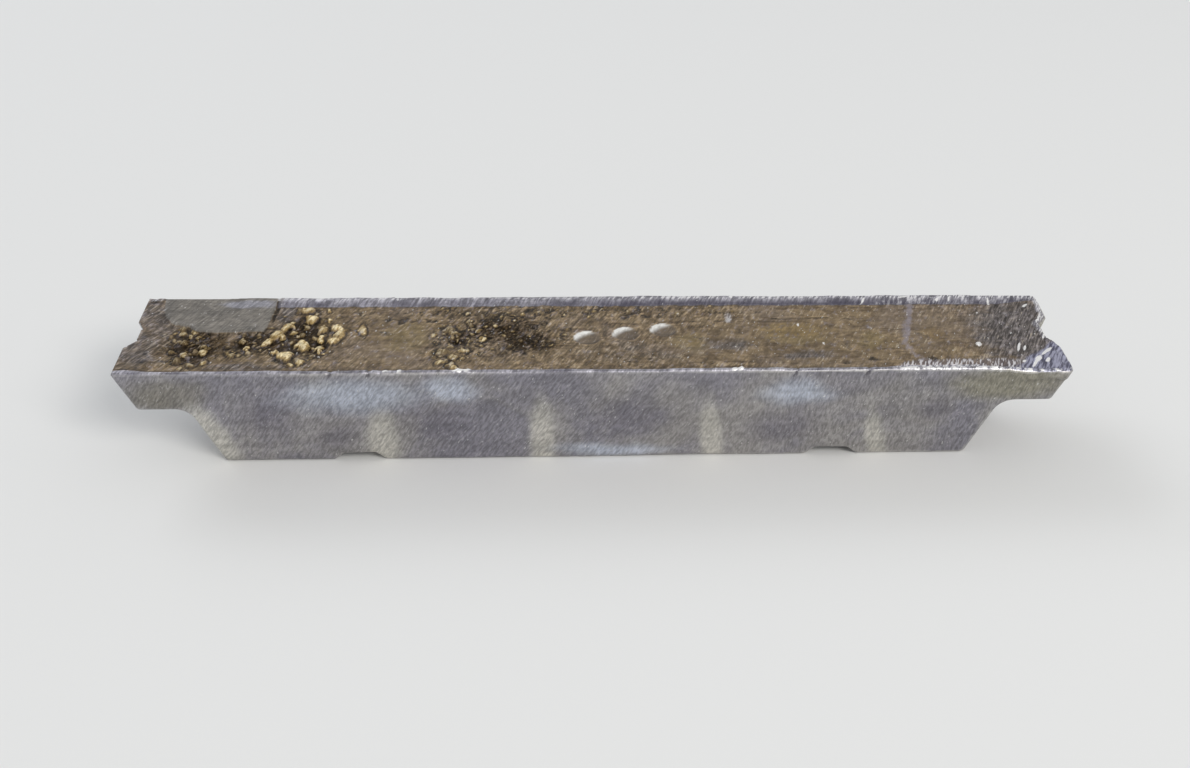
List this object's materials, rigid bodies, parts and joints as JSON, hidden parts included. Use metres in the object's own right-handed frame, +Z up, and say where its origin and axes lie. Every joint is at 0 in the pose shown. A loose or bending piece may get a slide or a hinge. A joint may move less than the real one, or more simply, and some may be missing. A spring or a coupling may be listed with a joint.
{
  "type": "lead ingot",
  "caption": "Cast lead ingot with drafted sides, overhanging end lugs with strap recesses, cross grooves in the base and a sunken cast face inside a thin lip that runs a little out of level.",
  "frame": {"origin": "middle of the flat base, with the mouth up", "axes": "+X along the ingot, +Y across it, +Z up from the base to the mouth"},
  "size_m": [0.5955, 0.103, 0.0765],
  "materials": {
    "cast_lead": null
  },
  "bodies": {
    "root": {"ingot": "cast_lead"}
  },
  "joints": []
}
